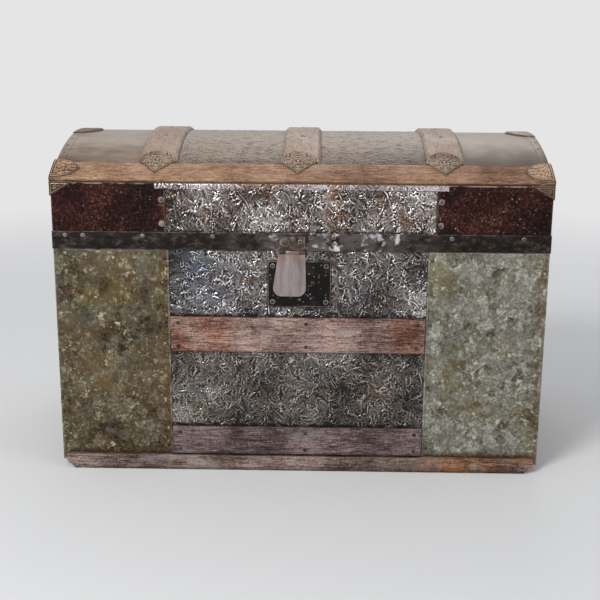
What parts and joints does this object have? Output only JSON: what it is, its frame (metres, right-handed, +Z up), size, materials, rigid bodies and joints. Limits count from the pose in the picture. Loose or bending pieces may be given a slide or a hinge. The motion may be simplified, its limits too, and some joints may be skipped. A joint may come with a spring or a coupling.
{
  "type": "dome top trunk",
  "caption": "Wooden travelling trunk with a hinged barrel lid, cased in galvanised and embossed sheet metal and bound with wooden slats, with a hasp lock, end handles and a lift-out tray.",
  "frame": {"origin": "on the floor, under the middle of the trunk", "axes": "+Z up, +X to the right seen from the front, front along -Y"},
  "size_m": [0.855, 0.481, 0.564],
  "materials": {
    "pine": "bare aged pine",
    "slat_wood": "weathered hardwood, worn varnish",
    "galvanised_sheet": "mottled and stained",
    "embossed_tin": "dark lacquer worn to bright tin on the raised pattern",
    "painted_sheet": "red-brown paint, scratched",
    "dome_tin": "dull grey-tan, rubbed lengthwise",
    "dome_embossed_tin": "dull grey-tan over a raised pattern",
    "band_iron": "dark, half gloss",
    "clamp_iron": "stamped, brown patina",
    "hinge_iron": "dark, rubbed at the edges",
    "hasp_steel": "matte, worn smooth",
    "black_lacquer": "satin black with specks",
    "lock_iron": "plain",
    "handle_leather": "dry, creased",
    "nail_iron": "domed heads, tarnished"
  },
  "bodies": {
    "trunk": {"back_slats": "slat_wood", "bottom_runners": "slat_wood", "box_back_board": "pine", "box_bottom_board": "pine", "box_casing_left": "galvanised_sheet", "box_casing_right": "galvanised_sheet", "box_embossed_sheets": "embossed_tin", "box_front_board": "pine", "box_left_board": "pine", "box_nails": "nail_iron", "box_right_board": "pine", "end_slats": "slat_wood", "front_slat_lower": "slat_wood", "front_slat_upper": "slat_wood", "handle_brackets": "hinge_iron", "hinge_box_leaves": "hinge_iron", "hinge_pins": "hinge_iron", "lock_case": "lock_iron", "lock_plate": "black_lacquer", "rim_lips": "pine", "sole_slats": "pine", "tray_cleats": "pine"},
    "lid": {"corner_clamps": "clamp_iron", "crest_clamps": "clamp_iron", "dome_edge_bindings": "clamp_iron", "dome_embossed_sheets": "dome_embossed_tin", "dome_nails": "nail_iron", "dome_sheet_left": "dome_tin", "dome_sheet_right": "dome_tin", "dome_slat_back": "slat_wood", "dome_slat_front": "slat_wood", "dome_staves": "pine", "dome_strap_left": "slat_wood", "dome_strap_middle": "slat_wood", "dome_strap_right": "slat_wood", "hasp_hinge_plate": "hinge_iron", "hasp_pin": "hinge_iron", "hinge_lid_leaves": "hinge_iron", "lid_back_board": "pine", "lid_bands": "band_iron", "lid_casing_left": "painted_sheet", "lid_casing_right": "painted_sheet", "lid_embossed_sheets": "embossed_tin", "lid_front_board": "pine", "lid_left_board": "pine", "lid_nails": "nail_iron", "lid_right_board": "pine", "strap_clamps": "clamp_iron"},
    "hasp": {"hasp_tongue": "hasp_steel"},
    "bolt": {"lock_bolt": "lock_iron"},
    "handle_left": {"handle_bail_left": "hinge_iron", "handle_grip_left": "handle_leather"},
    "handle_right": {"handle_bail_right": "hinge_iron", "handle_grip_right": "handle_leather"},
    "tray": {"tray_bottom": "pine", "tray_ends": "pine", "tray_partition": "pine", "tray_sides": "pine"}
  },
  "joints": [
    {"name": "lid_hinge", "type": "hinge", "parent": "trunk", "child": "lid", "pos_m": [0, 0.2347, 0.38135], "axis": [-1, 0, 0], "range_deg": [0, 95]},
    {"name": "hasp_pivot", "type": "hinge", "parent": "lid", "child": "hasp", "pos_m": [-0.014, -0.2331, 0.38], "axis": [-1, 0, 0], "range_deg": [0, 160]},
    {"name": "bolt_slide", "type": "slide", "parent": "trunk", "child": "bolt", "axis": [1, 0, 0], "range_m": [0, 0.008]},
    {"name": "handle_right_pivot", "type": "hinge", "parent": "trunk", "child": "handle_right", "pos_m": [0.4185, 0, 0.338], "axis": [0, -1, 0], "range_deg": [0, 90]},
    {"name": "handle_left_pivot", "type": "hinge", "parent": "trunk", "child": "handle_left", "pos_m": [-0.4185, 0, 0.338], "axis": [0, 1, 0], "range_deg": [0, 90]},
    {"name": "tray_lift", "type": "slide", "parent": "trunk", "child": "tray", "axis": [0, 0, 1], "range_m": [0, 0.13]}
  ]
}
